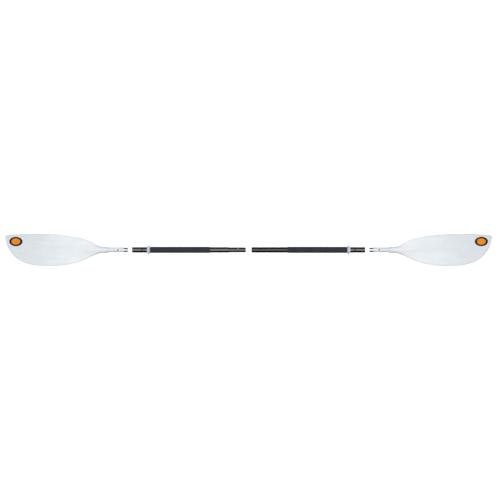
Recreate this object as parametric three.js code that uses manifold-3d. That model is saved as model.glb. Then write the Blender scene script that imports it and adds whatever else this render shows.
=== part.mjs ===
// A four-piece kayak paddle, taken apart and laid out in one line, in millimetres.
// +X runs along the paddle, +Y points to the straight edges of the blades, and +Z is up, out of
// their power faces. The origin is on the floor, below the middle of the paddle.
import * as THREE from "three";
import { mergeVertices } from "three/addons/utils/BufferGeometryUtils.js";
import Module from "manifold-3d";

const wasm = await Module();
wasm.setup();

const AXIS_HEIGHT = 26; // the drip rings carry the shafts this high
const FIT = 0.3; // clearance between pieces that touch
const SIDES = 32; // flats around a round piece
const SLIM_SIDES = 24; // flats around a small or hidden one

// Shafts. Each half is measured with the male ferrule that stands out of the left one.
const CENTRE_GAP = 32; // between the two laid-out halves
const HALF_LENGTH = 630;
const SHAFT_RADIUS = 14.7;
const BORE_RADIUS = 13.5;
const SHAFT_END = CENTRE_GAP / 2 + HALF_LENGTH;

// The male ferrule, bonded in the left tube.
const FERRULE_RADIUS = 13.3;
const FERRULE_BORE = 11.7;
const FERRULE_REACH = 95; // stands out of the left tube
const FERRULE_BONDED = 90; // stays inside it
const FERRULE_BUTTON = 44; // from the ferrule's end
const FEATHER_STEP = Math.PI / 4; // between the three index holes
const CENTRE_TRAVEL = CENTRE_GAP + FERRULE_REACH - FIT;

// Grips and drip rings.
const GRIP_START = 214.5;
const GRIP_END = 547.3;
const GRIP_RADIUS = 16.8;
const RING_LENGTH = 16.2;
const RING_MOUTH = 10.8; // from the grip to the rim of the bowl
const RING_BORE = 14.85;
const RING_SLEEVE = 16.4;

// Section of the drip ring's bowl, outside and then inside, as [from the grip, in from the rim].
const RING_BOWL = [
  [0, 8.4],
  [0.8, 7.4],
  [3, 4.4],
  [5.6, 2.2],
  [RING_MOUTH - 2.6, 0.8],
  [RING_MOUTH - 0.6, 0],
  [RING_MOUTH, 0.4],
  [RING_MOUTH, 1.4],
  [RING_MOUTH - 3, 2.4],
  [5, 4.4],
  [4, 9.4],
];

// Blade piece, along its own length: metal tip, moulded insert, shoulder, neck, blade.
const BLADE_GAP = 25; // between the shaft and the tip of the blade's core tube
const CORE_TIP = SHAFT_END + BLADE_GAP;
const INSERT_START = CORE_TIP + 21;
const SHOULDER = INSERT_START + 89;
const BLADE_LENGTH = 569;
const NECK_RADIUS = 16.5;
const NECK_STRAIGHT = 36;
const BLADE_TRAVEL = SHOULDER - SHAFT_END - FIT;
const BLADE_BUTTON = SHOULDER - 56.5;

// The insert's four bands, a sliding fit in the shaft.
const BAND_RADIUS = 13.3;
const GROOVE_RADIUS = 12.85;
const BAND_COUNT = 4;
const BAND_START = 3; // from the insert's mouth
const BAND_PITCH = 21.5;
const BAND_LENGTH = 14.5;
const BAND_SLOPE = 2;
const PAD_LENGTH = 24; // flat round the button's hole
const PAD_DEPTH = 0.6;

// The aluminium core tube inside the insert and the neck.
const CORE_RADIUS = 11.8;
const CORE_BORE = 10.4;
const CORE_DEPTH = 66; // past the shoulder

// Blade surface, measured from the shoulder.
const SPOON_DEPTH = 19; // lengthwise curve below the axis
const CUP_DEPTH = 9; // rise of the edges above the middle
const HALF_WIDTH = 89.5;
const HALF_PLATE = 1.5; // half of the blade's thickness away from the spine
const SPINE_WIDENING = 0.05; // of the spine's half-width, for each millimetre along the blade
const PLATE_FROM = 105; // where the round neck has turned into the blade's section
const EDGE_ROUNDING = 2.5;
const RIBS = 40;
const RIB_STEPS = 10; // across each face of a rib

// Snap buttons and their springs.
const BUTTON_RADIUS = 4;
const BUTTON_TOP = 15.3; // from the axis, just proud of the shaft
const BUTTON_DOME = 1.5;
const COLLAR_RADIUS = 5;
const COLLAR_HEIGHT = 1;
const SPRING_WIDTH = 7;
const SPRING_THICKNESS = 0.7;
const SPRING_REACH = 42; // from the button to the bend

// Decal, an oval near the tip on the straight side of the blade.
const DECAL_FROM_TIP = 58;
const DECAL_OFFSET = 46.5;
const DECAL_HALF = [39, 28];
const DECAL_THICKNESS = 0.3;

const materials = {
  blade: { color: 0xe4e9ed, roughness: 0.4 },
  core: { color: 0xc4c6c9, roughness: 0.25, metalness: 1 },
  shaft: { color: 0x0d0f12, roughness: 0.22, metalness: 0.3 },
  ferrule: { color: 0x101216, roughness: 0.3, metalness: 0.3 },
  grip: { color: 0x33363d, roughness: 0.85 },
  ring: { color: 0xd6d9ea, roughness: 0.35 },
  plug: { color: 0x3c3a36, roughness: 0.95 },
  spring: { color: 0x9a9ca0, roughness: 0.35, metalness: 1 },
  button: { color: 0x2b2d31, roughness: 0.3, metalness: 0.8 },
  steel: { color: 0xb9bbbd, roughness: 0.25, metalness: 1 },
  decal: { color: 0xe2702a, roughness: 0.35 },
};

function named(name, material, geometry) {
  const mesh = new THREE.Mesh(geometry, new THREE.MeshStandardMaterial(materials[material]));
  mesh.name = name;
  return mesh;
}

// Closed geometry to solid and back, for cuts and joins.
function solid(geometry) {
  const plain = geometry.clone();
  plain.deleteAttribute("normal");
  plain.deleteAttribute("uv");
  const merged = mergeVertices(plain, 1e-4);
  const vertProperties = merged.attributes.position.array;
  const triVerts = new Uint32Array(merged.index.array);
  return new wasm.Manifold(new wasm.Mesh({ numProp: 3, vertProperties, triVerts }));
}

function geometryOf(manifold) {
  const mesh = manifold.getMesh();
  const geometry = new THREE.BufferGeometry();
  geometry.setAttribute("position", new THREE.BufferAttribute(mesh.vertProperties, 3));
  geometry.setIndex(new THREE.BufferAttribute(mesh.triVerts, 1));
  geometry.computeVertexNormals();
  return geometry;
}

function cut(geometry, cutters) {
  let left = solid(geometry);
  for (const cutter of cutters) left = left.subtract(solid(cutter));
  return geometryOf(left);
}

// A piece turned about the X axis, from [x, radius] points: along the outside, then back.
function turned(outline, sides = SIDES) {
  const points = outline.map(([x, radius]) => new THREE.Vector2(radius, x));
  if (outline[0][1] > 0) points.push(points[0].clone());
  return new THREE.LatheGeometry(points, sides).rotateZ(-Math.PI / 2);
}

function tube(start, end, radius, bore, sides = SIDES) {
  return turned([[start, radius], [end, radius], [end, bore], [start, bore]], sides);
}

function rod(start, end, radius, chamfer = 0.6) {
  return turned(
    [
      [start, 0],
      [start, radius - chamfer],
      [start + chamfer, radius],
      [end - chamfer, radius],
      [end, radius - chamfer],
      [end, 0],
    ],
    SLIM_SIDES,
  );
}

// A drill for one wall of a tube, at an angle from +Z towards +Y.
function drill(x, angle = 0, radius = BUTTON_RADIUS + FIT) {
  const length = 20;
  return new THREE.CylinderGeometry(radius, radius, length, SLIM_SIDES)
    .translate(0, length / 2, 0)
    .rotateX(Math.PI / 2 - angle)
    .translate(x, 0, 0);
}

const smooth = (value, from, to) => THREE.MathUtils.smoothstep(value, from, to);

// Height of the blade's middle surface from the axis, s from the shoulder and y across.
function middleHeight(s, y) {
  const along = THREE.MathUtils.clamp((s - NECK_STRAIGHT) / (BLADE_LENGTH - NECK_STRAIGHT), 0, 1);
  const spoon = SPOON_DEPTH * Math.sin(Math.PI * along) * smooth(along, 0, 0.25);
  const cup = CUP_DEPTH * smooth(s, 60, 260) * (y / HALF_WIDTH) ** 2;
  return cup - spoon;
}

// Half of the thickness on one face: a spine that runs out of the neck, on a thin plate.
function faceHeight(s, y, face) {
  const spine = (NECK_RADIUS - HALF_PLATE) * (1 - smooth(s, NECK_STRAIGHT, face.spineEnd));
  const spread = face.spineWidth + s * SPINE_WIDENING;
  return HALF_PLATE + spine * Math.exp(-((y / spread) ** 2));
}

const FACES = [
  { side: 1, spineEnd: 250, spineWidth: 20 },
  { side: -1, spineEnd: 370, spineWidth: 10 },
];

// One closed rib between a point on the straight edge and one on the curved edge.
function rib(upper, lower) {
  const width = upper.distanceTo(lower);
  const ring = [];
  for (let i = 0; i < 2 * RIB_STEPS; i += 1) {
    const angle = (Math.PI * i) / RIB_STEPS;
    const face = FACES[i <= RIB_STEPS ? 0 : 1];
    const at = lower.clone().lerp(upper, (1 + Math.cos(angle)) / 2);
    const inset = Math.min(at.distanceTo(upper), at.distanceTo(lower), EDGE_ROUNDING);
    const edge = Math.sqrt(1 - (1 - inset / EDGE_ROUNDING) ** 2);
    const flat = smooth(at.x, NECK_STRAIGHT, PLATE_FROM);
    const round = NECK_RADIUS * Math.abs(Math.sin(angle));
    const plate = faceHeight(at.x, at.y, face) * edge;
    const height = (1 - flat) * round + flat * plate;
    const z = middleHeight(at.x, at.y) + face.side * height;
    ring.push(new THREE.Vector3(SHOULDER + at.x, at.y, width > 1e-6 ? z : middleHeight(at.x, at.y)));
  }
  return ring;
}

function loft(rings) {
  const count = rings[0].length;
  const points = rings.flat();
  const index = [];
  for (let j = 0; j + 1 < rings.length; j += 1) {
    for (let i = 0; i < count; i += 1) {
      const a = j * count + i;
      const b = j * count + ((i + 1) % count);
      index.push(a, b, a + count, b, b + count, a + count);
    }
  }
  const centre = points.length;
  points.push(rings[0].reduce((sum, p) => sum.add(p), new THREE.Vector3()).divideScalar(count));
  for (let i = 0; i < count; i += 1) index.push(centre, (i + 1) % count, i);
  const geometry = new THREE.BufferGeometry().setFromPoints(points);
  geometry.setIndex(index);
  return geometry;
}

const plan = (points) => new THREE.SplineCurve(points.map(([s, y]) => new THREE.Vector2(s, y)));

// The two edges of the blade in plan, from the neck to the corner of the tip.
const TIP = [BLADE_LENGTH, 72];
const straightEdge = plan([
  [NECK_STRAIGHT, NECK_RADIUS],
  [60, 25],
  [92, 45],
  [135, 63],
  [190, 74],
  [265, 84.5],
  [350, 89],
  [430, 89.4],
  [505, 86.4],
  [552, 82.6],
  [565, 79.5],
  TIP,
]);
const curvedEdge = plan([
  [NECK_STRAIGHT, -NECK_RADIUS],
  [60, -23],
  [92, -36.5],
  [135, -58],
  [190, -76],
  [255, -86.5],
  [325, -89.56],
  [385, -88.2],
  [435, -80.5],
  [480, -64.5],
  [520, -36],
  [550, 3],
  [565, 43],
  TIP,
]);

function bladeShell() {
  const chamfer = 1;
  const neck = [chamfer, 0].map((inset) => {
    const radius = NECK_RADIUS - inset;
    const ring = rib(new THREE.Vector2(0, NECK_RADIUS), new THREE.Vector2(0, -NECK_RADIUS));
    return ring.map((p) => new THREE.Vector3(p.x + chamfer - inset, p.y, p.z).multiply(
      new THREE.Vector3(1, radius / NECK_RADIUS, radius / NECK_RADIUS),
    ));
  });
  const ribs = Array.from({ length: RIBS + 1 }, (_, i) => {
    const share = i / RIBS;
    const eased = share + (share * (1 - share) * (share - 0.35)) / 1.6;
    return rib(straightEdge.getPointAt(eased), curvedEdge.getPointAt(eased));
  });
  return loft([...neck, ...ribs]);
}

function insertOutline() {
  const outline = [
    [INSERT_START, 0],
    [INSERT_START, GROOVE_RADIUS - 0.4],
    [INSERT_START + 1, GROOVE_RADIUS],
  ];
  for (let i = 0; i < BAND_COUNT; i += 1) {
    const start = INSERT_START + BAND_START + i * BAND_PITCH;
    const end = start + BAND_LENGTH;
    outline.push([start, GROOVE_RADIUS], [start + BAND_SLOPE, BAND_RADIUS]);
    outline.push([end - BAND_SLOPE, BAND_RADIUS], [end, GROOVE_RADIUS]);
  }
  outline.push([SHOULDER + 6, GROOVE_RADIUS], [SHOULDER + 6, 0]);
  return outline;
}

// One moulding: blade, neck and banded insert, bored for the core tube and its button.
function moulding() {
  const insert = solid(turned(insertOutline(), SLIM_SIDES));
  const bore = turned(
    [
      [INSERT_START - 5, 0],
      [INSERT_START - 5, CORE_RADIUS + FIT],
      [SHOULDER + CORE_DEPTH + FIT, CORE_RADIUS + FIT],
      [SHOULDER + CORE_DEPTH + FIT, 0],
    ],
    SLIM_SIDES,
  );
  const pad = new THREE.BoxGeometry(PAD_LENGTH, 2 * GROOVE_RADIUS, 2)
    .translate(BLADE_BUTTON, 0, BAND_RADIUS - PAD_DEPTH + 1);
  return cut(geometryOf(solid(bladeShell()).add(insert)), [bore, pad, drill(BLADE_BUTTON)]);
}

// A domed pin with a collar that stops it against the inside of its tube.
function button(x, bore, angle = 0) {
  const collarTop = Math.sqrt(bore ** 2 - COLLAR_RADIUS ** 2) - FIT;
  const domeBase = BUTTON_TOP - BUTTON_DOME;
  const sphere = (BUTTON_RADIUS ** 2 + BUTTON_DOME ** 2) / (2 * BUTTON_DOME);
  const foot = [
    [0, -COLLAR_HEIGHT],
    [COLLAR_RADIUS, -COLLAR_HEIGHT],
    [COLLAR_RADIUS, 0],
    [BUTTON_RADIUS, 0],
  ];
  const points = foot.map(([radius, height]) => new THREE.Vector2(radius, collarTop + height));
  const steps = 4;
  for (let i = 0; i <= steps; i += 1) {
    const radius = BUTTON_RADIUS * (1 - i / steps);
    const drop = sphere - BUTTON_DOME;
    points.push(new THREE.Vector2(radius, domeBase + Math.sqrt(sphere ** 2 - radius ** 2) - drop));
  }
  return new THREE.LatheGeometry(points, SLIM_SIDES)
    .rotateX(Math.PI / 2 - angle)
    .translate(x, 0, 0);
}

// A V of flat steel inside a tube: one leg under the button's collar, one on the far wall.
function spring(x, bore, direction, angle = 0) {
  const collarTop = Math.sqrt(bore ** 2 - COLLAR_RADIUS ** 2) - FIT;
  const upper = collarTop - COLLAR_HEIGHT - FIT - SPRING_THICKNESS / 2;
  const lower = Math.sqrt(bore ** 2 - (SPRING_WIDTH / 2) ** 2) - FIT - SPRING_THICKNESS;
  const line = plan([
    [-6, upper],
    [6, upper],
    [SPRING_REACH * 0.6, upper * 0.62],
    [SPRING_REACH - 2, 2.4],
    [SPRING_REACH, 0],
    [SPRING_REACH - 2, -2.4],
    [SPRING_REACH * 0.5, -lower * 0.66],
    [-4, -lower],
  ]);
  const steps = 26;
  const faces = [1, -1].map((side) => Array.from({ length: steps + 1 }, (_, i) => {
    const along = line.getTangent(i / steps);
    const across = new THREE.Vector2(-along.y, along.x).multiplyScalar((side * SPRING_THICKNESS) / 2);
    return line.getPoint(i / steps).add(across);
  }));
  const outline = new THREE.Shape([...faces[1], ...faces[0].reverse()]);
  const strip = new THREE.ExtrudeGeometry(outline, { depth: SPRING_WIDTH, bevelEnabled: false })
    .translate(0, 0, -SPRING_WIDTH / 2);
  const turn = direction < 0 ? Math.PI : 0;
  return strip
    .rotateX(Math.PI / 2)
    .rotateZ(turn)
    .rotateX(-angle)
    .translate(x, 0, 0);
}

// A bowl that opens towards the blade, on a sleeve around the shaft.
function dripRing() {
  const start = GRIP_END + FIT;
  return turned(
    [
      ...RING_BOWL.map(([x, depth]) => [start + x, AXIS_HEIGHT - depth]),
      [start + RING_LENGTH - 0.6, RING_SLEEVE],
      [start + RING_LENGTH, RING_SLEEVE - 0.5],
      [start + RING_LENGTH, RING_BORE],
      [start, RING_BORE],
    ],
    36,
  );
}

function grip() {
  const bore = SHAFT_RADIUS + FIT;
  const rounding = 1;
  return turned([
    [GRIP_START, GRIP_RADIUS - rounding],
    [GRIP_START + rounding, GRIP_RADIUS],
    [GRIP_END - rounding, GRIP_RADIUS],
    [GRIP_END, GRIP_RADIUS - rounding],
    [GRIP_END, bore],
    [GRIP_START, bore],
  ]);
}

// An oval skin that follows the power face.
function decal() {
  const [halfLength, halfWidth] = DECAL_HALF;
  const spokes = 24;
  const rings = 3;
  const point = (ring, spoke, lift) => {
    const angle = (2 * Math.PI * spoke) / spokes;
    const s = BLADE_LENGTH - DECAL_FROM_TIP + (halfLength * ring * Math.cos(angle)) / rings;
    const y = DECAL_OFFSET + (halfWidth * ring * Math.sin(angle)) / rings;
    const face = middleHeight(s, y) + faceHeight(s, y, FACES[0]);
    return new THREE.Vector3(SHOULDER + s, y, face + FIT + lift);
  };
  const points = [];
  const index = [];
  const rows = [];
  for (let ring = 1; ring <= rings; ring += 1) rows.push([ring, DECAL_THICKNESS]);
  for (let ring = rings; ring >= 1; ring -= 1) rows.push([ring, 0]);
  for (const [ring, lift] of rows) {
    for (let spoke = 0; spoke < spokes; spoke += 1) points.push(point(ring, spoke, lift));
  }
  const top = points.push(point(0, 0, DECAL_THICKNESS)) - 1;
  const bottom = points.push(point(0, 0, 0)) - 1;
  for (let spoke = 0; spoke < spokes; spoke += 1) {
    const next = (spoke + 1) % spokes;
    const last = (rows.length - 1) * spokes;
    index.push(top, spoke, next, bottom, last + next, last + spoke);
    for (let row = 0; row + 1 < rows.length; row += 1) {
      const a = row * spokes + spoke;
      const b = row * spokes + next;
      index.push(a, a + spokes, b, b, a + spokes, b + spokes);
    }
  }
  const geometry = new THREE.BufferGeometry().setFromPoints(points);
  geometry.setIndex(index);
  return geometry;
}

function coreTube() {
  const end = SHOULDER + CORE_DEPTH;
  return cut(tube(CORE_TIP, end, CORE_RADIUS, CORE_BORE, SLIM_SIDES), [drill(BLADE_BUTTON)]);
}

// The shaft tube of one side, with its blade hole and, on the right, three index holes.
function shaftTube(side) {
  const start = CENTRE_GAP / 2 + (side === "left" ? FERRULE_REACH : 0);
  const holes = [drill(BLADE_BUTTON - BLADE_TRAVEL)];
  if (side === "right") {
    const x = CENTRE_TRAVEL - CENTRE_GAP / 2 - FERRULE_BUTTON;
    for (let i = 0; i < 3; i += 1) holes.push(drill(x, i * FEATHER_STEP));
  }
  return cut(tube(start, SHAFT_END, SHAFT_RADIUS, BORE_RADIUS), holes);
}

// Everything outboard of the centre joint, which both sides have.
function side(name) {
  const group = new THREE.Group();
  const plugEnd = SHAFT_END - BLADE_TRAVEL + BLADE_GAP - 6;
  group.add(
    named(`shaft_${name}_tube`, "shaft", shaftTube(name)),
    named(`shaft_${name}_bulkhead`, "plug", rod(plugEnd - 26, plugEnd, BORE_RADIUS - FIT)),
    named(`grip_${name}`, "grip", grip()),
    named(`drip_ring_${name}`, "ring", dripRing()),
    named(`blade_${name}`, "blade", moulding()),
    named(`blade_${name}_core_tube`, "core", coreTube()),
    named(`blade_${name}_core_plug`, "plug", rod(SHOULDER + 12, SHOULDER + 40, CORE_BORE - FIT)),
    named(`blade_${name}_spring`, "spring", spring(BLADE_BUTTON, CORE_BORE, 1)),
    named(`blade_${name}_button`, "button", button(BLADE_BUTTON, CORE_BORE)),
    named(`blade_${name}_decal`, "decal", decal()),
  );
  return group;
}

// The centre joint, in the same outward coordinates as a side.
const FERRULE_END = CENTRE_GAP / 2;
const FERRULE_ROOT = FERRULE_END + FERRULE_REACH + FERRULE_BONDED;
const INDEX_BUTTON = FERRULE_END + FERRULE_BUTTON;

function ferrule() {
  const lead = 1.2;
  const sleeve = turned([
    [FERRULE_END, FERRULE_RADIUS - lead],
    [FERRULE_END + lead, FERRULE_RADIUS],
    [FERRULE_ROOT, FERRULE_RADIUS],
    [FERRULE_ROOT, FERRULE_BORE],
    [FERRULE_END, FERRULE_BORE],
  ]);
  return cut(sleeve, [drill(INDEX_BUTTON, FEATHER_STEP)]);
}

function maleEnd() {
  const group = new THREE.Group();
  const plugStart = FERRULE_END + FERRULE_REACH + 20;
  group.add(
    named("ferrule", "ferrule", ferrule()),
    named("ferrule_plug", "plug", rod(plugStart, plugStart + 28, FERRULE_BORE - FIT)),
    named("ferrule_spring", "spring", spring(INDEX_BUTTON, FERRULE_BORE, 1, FEATHER_STEP)),
    named("ferrule_button", "steel", button(INDEX_BUTTON, FERRULE_BORE, FEATHER_STEP)),
  );
  return group;
}

// The round plug that closes the right tube beyond the reach of the ferrule.
function femalePlug() {
  const start = CENTRE_GAP / 2 + FERRULE_REACH + 8;
  return named("shaft_right_inner_plug", "plug", rod(start, start + 26, BORE_RADIUS - FIT));
}

const paddle = new THREE.Group();
paddle.name = "kayak_paddle";
paddle.position.z = AXIS_HEIGHT;
const rightHalf = new THREE.Group();
rightHalf.add(side("right"), femalePlug());
const leftHalf = new THREE.Group();
leftHalf.add(side("left"), maleEnd());
leftHalf.scale.x = -1;
paddle.add(leftHalf, rightHalf);

export default paddle;
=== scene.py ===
import math

import bmesh
import bpy
import numpy as np
from mathutils import Matrix, Vector, kdtree


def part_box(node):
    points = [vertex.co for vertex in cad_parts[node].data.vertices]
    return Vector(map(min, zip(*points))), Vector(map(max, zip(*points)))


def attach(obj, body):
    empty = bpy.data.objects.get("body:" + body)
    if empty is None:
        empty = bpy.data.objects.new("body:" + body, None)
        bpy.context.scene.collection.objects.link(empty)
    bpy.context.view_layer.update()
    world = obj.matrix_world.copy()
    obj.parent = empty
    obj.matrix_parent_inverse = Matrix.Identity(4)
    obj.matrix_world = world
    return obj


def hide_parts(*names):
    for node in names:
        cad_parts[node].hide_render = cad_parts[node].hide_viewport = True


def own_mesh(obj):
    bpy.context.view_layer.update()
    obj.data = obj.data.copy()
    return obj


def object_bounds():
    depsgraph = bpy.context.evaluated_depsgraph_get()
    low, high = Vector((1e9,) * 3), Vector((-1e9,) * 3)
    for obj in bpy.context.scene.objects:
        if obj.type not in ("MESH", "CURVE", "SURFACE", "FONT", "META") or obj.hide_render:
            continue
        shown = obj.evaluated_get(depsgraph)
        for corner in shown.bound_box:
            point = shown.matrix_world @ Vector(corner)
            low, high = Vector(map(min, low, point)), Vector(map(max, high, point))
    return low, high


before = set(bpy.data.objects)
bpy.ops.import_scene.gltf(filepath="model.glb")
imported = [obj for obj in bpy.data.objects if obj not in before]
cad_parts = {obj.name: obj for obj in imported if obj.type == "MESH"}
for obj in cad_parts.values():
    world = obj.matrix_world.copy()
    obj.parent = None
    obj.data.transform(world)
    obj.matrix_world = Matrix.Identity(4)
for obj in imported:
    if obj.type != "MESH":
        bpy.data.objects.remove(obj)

cadLow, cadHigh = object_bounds()
print("stage: frame loaded")

# Pieces are drawn in millimetres round the shaft's axis, with x outwards from the middle of the
# paddle. settle() brings each one to its side of the frame, in metres.
millimetre = 0.001
sides = {"left": -1, "right": 1}
tubeLow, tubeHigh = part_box("shaft_right_tube")
axisHeight = (tubeLow.z + tubeHigh.z) / 2


# where a node starts and ends outwards from the middle, and its radius
def reach(node):
    low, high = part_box(node)
    ends = sorted((abs(low.x) / millimetre, abs(high.x) / millimetre))
    return ends[0], ends[1], (high.y - low.y) / 2 / millimetre


def smooth(value, start, end):
    share = np.clip((value - start) / (end - start), 0, 1)
    return share * share * (3 - 2 * share)


# a smooth curve through every point, in count equal steps or at the given shares of its length
def smoothLine(points, count, fine=6000):
    knots = np.array([points[0], *points, points[-1]], float)
    at = np.linspace(0, len(points) - 1, fine + 1)
    first = np.minimum(at.astype(int), len(points) - 2)
    t = (at - first)[:, None]
    a, b, c, d = (knots[first + i] for i in range(4))
    line = b + t * (c - a) / 2 + t ** 2 * (a - 2.5 * b + 2 * c - d / 2)
    line += t ** 3 * (1.5 * (b - c) + (d - a) / 2)
    walked = np.concatenate([[0], np.cumsum(np.linalg.norm(np.diff(line, axis=0), axis=1))])
    wanted = np.linspace(0, 1, count + 1) if np.isscalar(count) else np.asarray(count)
    columns = [np.interp(wanted * walked[-1], walked, line[:, k]) for k in range(line.shape[1])]
    return np.stack(columns, 1)


def linearColor(hexCode):
    channels = [int(hexCode[i:i + 2], 16) / 255 for i in (1, 3, 5)]
    return [c / 12.92 if c <= 0.04045 else ((c + 0.055) / 1.055) ** 2.4 for c in channels] + [1]


# the one way nodes are added, in materials and in geometry trees: a node given as an input is
# linked by its first output
def addNode(tree, kind, inputs=None, **settings):
    node = tree.nodes.new(kind)
    for name, value in settings.items():
        setattr(node, name, value)
    for key, value in (inputs or {}).items():
        if isinstance(value, bpy.types.Node):
            value = value.outputs[0]
        if isinstance(value, bpy.types.NodeSocket):
            tree.links.new(value, node.inputs[key])
        else:
            node.inputs[key].default_value = value
    return node


# a material with its shader set, and the place on the object that its patterns are laid out in
def startMaterial(name, shaderValues):
    material = bpy.data.materials.new(name)
    material.use_nodes = True
    tree = material.node_tree
    shader = tree.nodes["Principled BSDF"]
    for key, value in shaderValues.items():
        shader.inputs[key].default_value = value
    return material, tree, shader, addNode(tree, "ShaderNodeTexCoord").outputs["Object"]


# joins the last nodes of a material to its shader
def dress(tree, shader, sources):
    for key, source in sources.items():
        tree.links.new(source.outputs[0], shader.inputs[key])


def stops(ramp, *pairs):
    elements = ramp.color_ramp.elements
    while len(elements) < len(pairs):
        elements.new(0.5)
    for element, (position, color) in zip(elements, pairs):
        element.position = position
        element.color = linearColor(color)


# Materials. Scales are worked out from a real size: Object coordinates are in metres.
noiseRange = {"From Min": 0.3, "From Max": 0.7}  # where nearly all of a noise lies


# Glass-filled nylon, injection moulded: pale cool grey, satin, with long flow streaks from the neck, a
# fine spark-eroded grain, and a smoother polished pad round the button. Light and shade are painted
# into its colour: lighter at the neck, darker towards the tip, a faint darker line in a broad darker
# belt along the front spine, a darker band along the rim, and a lighter pad as a highlight.
def filledNylon():
    look = {
        "shoulderColor": "#eeefef", "neckLitColor": "#f9faf9", "bellyColor": "#f2f3f2",
        "tipShadedColor": "#e1e3e3", "rimShadeColor": "#cbcccc", "padHighlightColor": "#fbfbfa",
        "streakMm": 9, "cloudMm": 70, "grainMm": 0.9, "neckAt": 0.78, "tipAt": 1.34,
        "shadeLineY": 0.0117, "shadeHalves": (0.0035, 0.045), "shadeDepths": (0.016, 0.022),
        "shadeLineEnd": 1.2,
    }
    material, tree, shader, place = startMaterial("glassFilledNylon", {
        "IOR": 1.53, "Subsurface Weight": 0.05, "Subsurface Scale": 0.003,
        "Subsurface Radius": (1.0, 1.0, 1.0), "Specular IOR Level": 0.45,
    })
    split = addNode(tree, "ShaderNodeSeparateXYZ", {0: place})
    outwards = addNode(tree, "ShaderNodeMath", {0: split.outputs[0]}, operation="ABSOLUTE")
    along = addNode(tree, "ShaderNodeMapRange", {
        "Value": outwards, "From Min": look["neckAt"], "From Max": look["tipAt"],
    }, interpolation_type="SMOOTHSTEP")
    # painted light and shade: the colour is lighter at the neck, raised there to offset the shade on
    # the front spine's lower flank, and darker towards the tip
    body = addNode(tree, "ShaderNodeValToRGB", {0: along})
    stops(
        body, (0.0, look["shoulderColor"]), (0.06, look["neckLitColor"]),
        (0.45, look["bellyColor"]), (1.0, look["tipShadedColor"]),
    )
    # painted shade: a faint, slightly darker line near the crest of the front spine, in a broad darker
    # belt, that dies out along the blade
    fromLine = addNode(tree, "ShaderNodeMath", {
        0: split.outputs[1], 1: look["shadeLineY"],
    }, operation="SUBTRACT")
    offLine = addNode(tree, "ShaderNodeMath", {0: fromLine}, operation="ABSOLUTE")
    line, belt = (
        addNode(tree, "ShaderNodeMapRange", {
            "Value": offLine, "From Max": half, "To Min": depth, "To Max": 0.0,
        }, interpolation_type="SMOOTHSTEP")
        for half, depth in zip(look["shadeHalves"], look["shadeDepths"])
    )
    ended = addNode(tree, "ShaderNodeMapRange", {
        "Value": outwards, "From Min": 1.0, "From Max": look["shadeLineEnd"],
        "To Min": -1.0, "To Max": 0.0,
    })
    paintedShade = addNode(tree, "ShaderNodeMath", {0: line, 1: belt})
    lowered = addNode(tree, "ShaderNodeMath", {0: paintedShade, 1: ended}, operation="MULTIPLY")
    # streaks run out along the blade, twenty times as long as they are wide
    stretched = addNode(tree, "ShaderNodeMapping", {"Vector": place, "Scale": (0.05, 1.0, 0.4)})
    streaks = addNode(tree, "ShaderNodeTexNoise", {
        "Vector": stretched, "Scale": 1000 / look["streakMm"], "Detail": 4.0,
    })
    clouds = addNode(tree, "ShaderNodeTexNoise", {
        "Vector": place, "Scale": 1000 / look["cloudMm"], "Detail": 2.0,
    })
    both = addNode(tree, "ShaderNodeMath", {0: streaks, 1: clouds})
    tone = addNode(tree, "ShaderNodeMapRange", {
        "Value": both, "From Min": 0.6, "From Max": 1.4, "To Min": 0.94, "To Max": 1.04,
    })
    toneWithShade = addNode(tree, "ShaderNodeMath", {0: tone, 1: lowered})
    toned = addNode(tree, "ShaderNodeVectorMath", {0: body, 1: toneWithShade}, operation="MULTIPLY")
    # painted shade: a darker band along the rim, broken up by noise
    rim = addNode(tree, "ShaderNodeAttribute", attribute_name="rim")
    rimShadeNoise = addNode(tree, "ShaderNodeTexNoise", {"Vector": place, "Scale": 1000 / 4, "Detail": 5.0})
    rimShade = addNode(tree, "ShaderNodeMath", {0: rim.outputs["Fac"], 1: rimShadeNoise}, operation="MULTIPLY")
    edged = addNode(tree, "ShaderNodeMixRGB", {0: rimShade, 1: toned, 2: linearColor(look["rimShadeColor"])})
    # painted highlight: the polished pad round the button is coloured lighter; it is also made smoother
    pad = addNode(tree, "ShaderNodeAttribute", attribute_name="pad")
    colour = addNode(tree, "ShaderNodeMixRGB", {
        0: pad.outputs["Fac"], 1: edged, 2: linearColor(look["padHighlightColor"]),
    })
    dull = addNode(tree, "ShaderNodeMapRange", {
        "Value": both, "From Min": 0.6, "From Max": 1.4, "To Min": 0.36, "To Max": 0.5,
    })
    smoothed = addNode(tree, "ShaderNodeMath", {
        0: pad.outputs["Fac"], 1: -0.2, 2: dull,
    }, operation="MULTIPLY_ADD")
    grain = addNode(tree, "ShaderNodeTexNoise", {
        "Vector": place, "Scale": 1000 / look["grainMm"], "Detail": 2.0,
    })
    flow = addNode(tree, "ShaderNodeBump", {"Height": streaks, "Strength": 0.25, "Distance": 0.0004})
    bump = addNode(tree, "ShaderNodeBump", {
        "Height": grain, "Strength": 0.3, "Distance": 0.00005, "Normal": flow,
    })
    dress(tree, shader, {"Base Color": colour, "Roughness": smoothed, "Normal": bump})
    return material


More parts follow.
